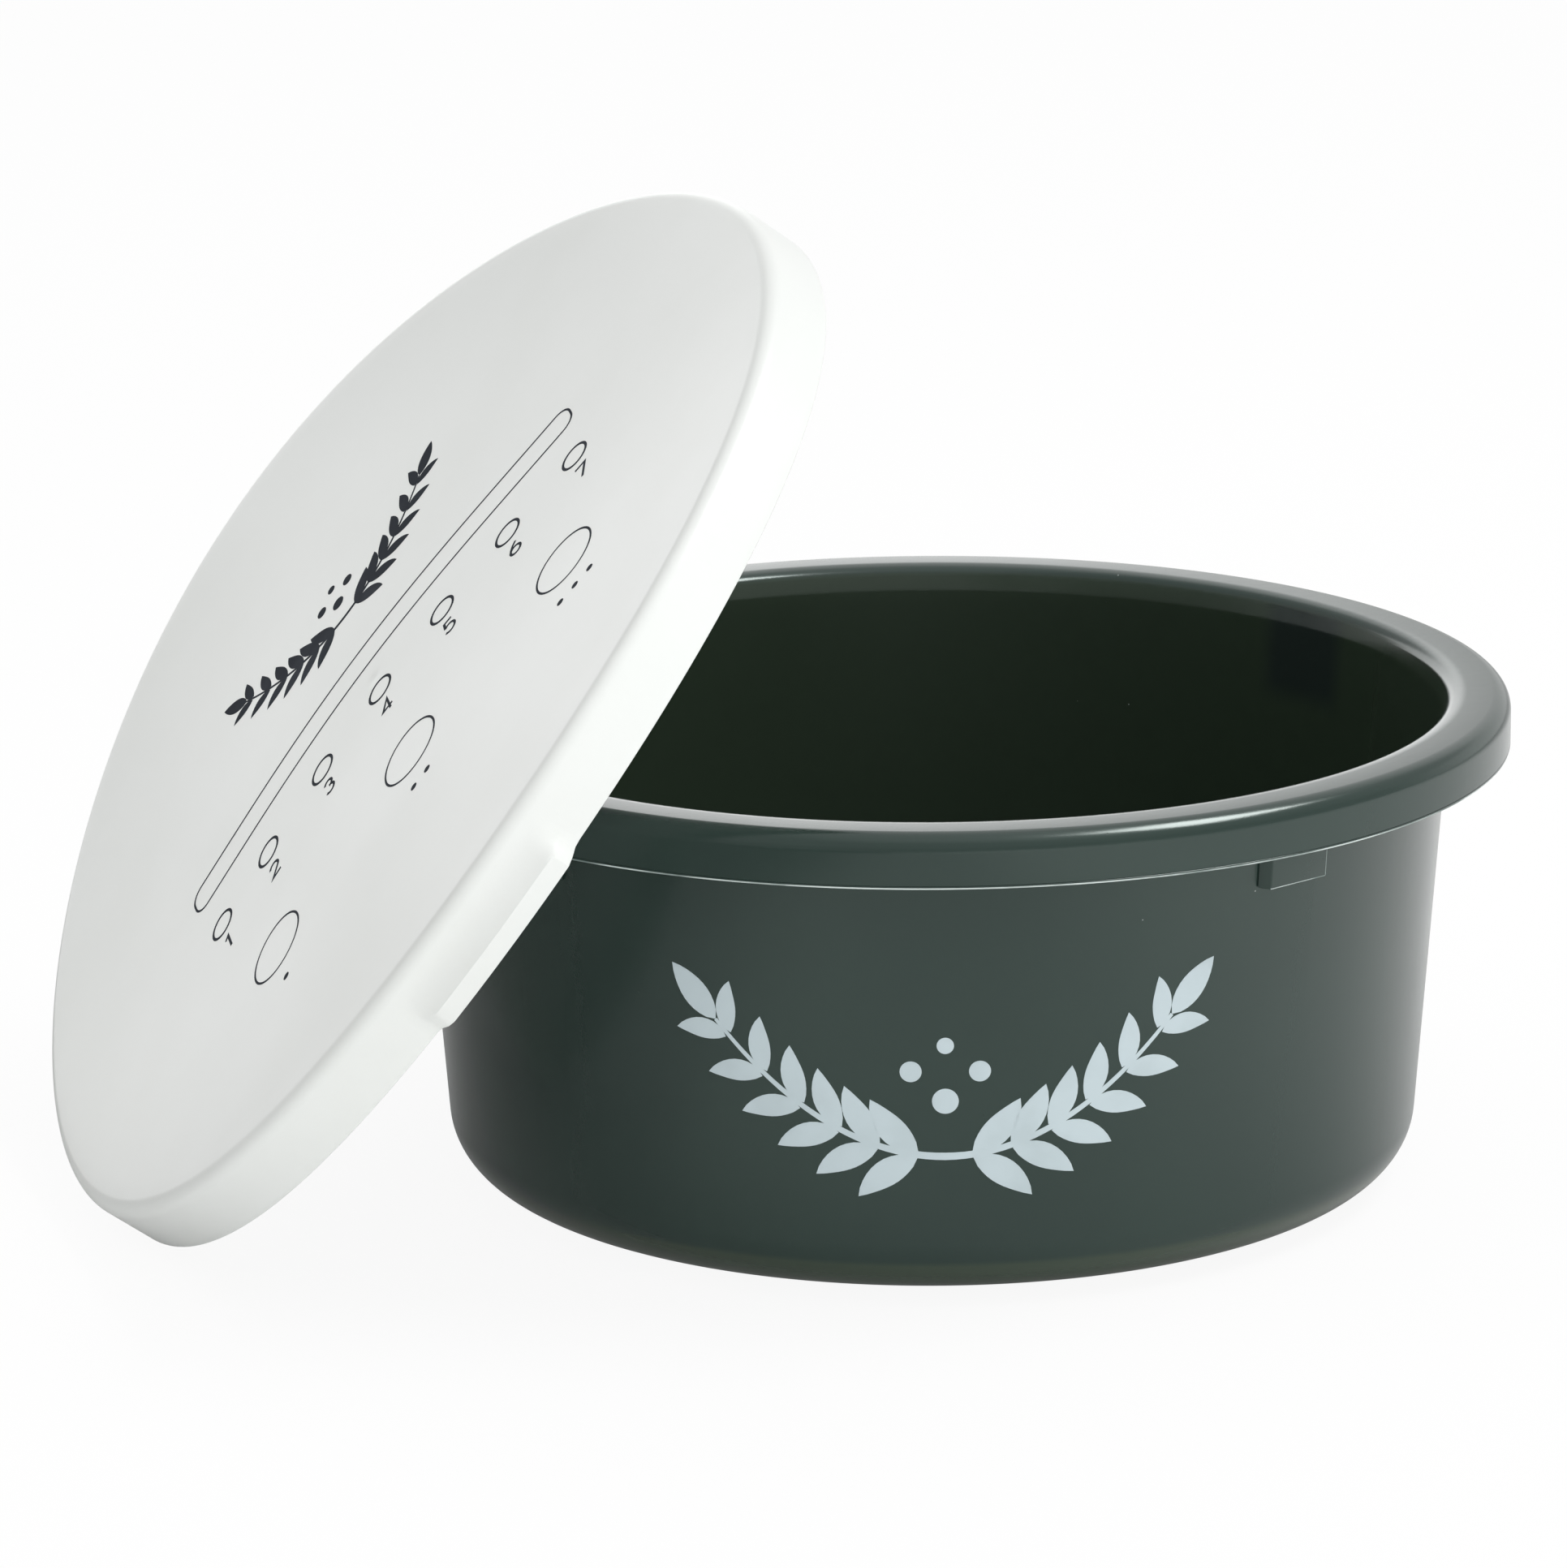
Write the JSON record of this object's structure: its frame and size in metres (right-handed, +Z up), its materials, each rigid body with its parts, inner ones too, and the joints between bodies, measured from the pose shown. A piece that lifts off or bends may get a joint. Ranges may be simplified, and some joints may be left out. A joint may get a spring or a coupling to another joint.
{
  "type": "feed bowl",
  "caption": "Round tapered plastic feed bowl with a rolled rim, and its flat press-on lid leaning against the rim.",
  "frame": {"origin": "centre of the bowl's flat base, on the surface it stands on", "axes": "+Z up along the bowl's axis; -Y is the bowl's front, the side the picture looks at; the lid leans on the rim at -X"},
  "size_m": [0.3962, 0.3414, 0.2629],
  "materials": {
    "bowl_plastic": "dark green moulded plastic, satin gloss",
    "lid_plastic": "white moulded plastic, soft sheen"
  },
  "bodies": {
    "bowl": {"bowl": "bowl_plastic"},
    "lid": {"lid": "lid_plastic"}
  },
  "joints": [
    {"name": "lid_lift", "type": "slide", "parent": "bowl", "child": "lid", "axis": [-0.7661, -0.26, 0.5878], "range_m": [0, 0.15]}
  ]
}
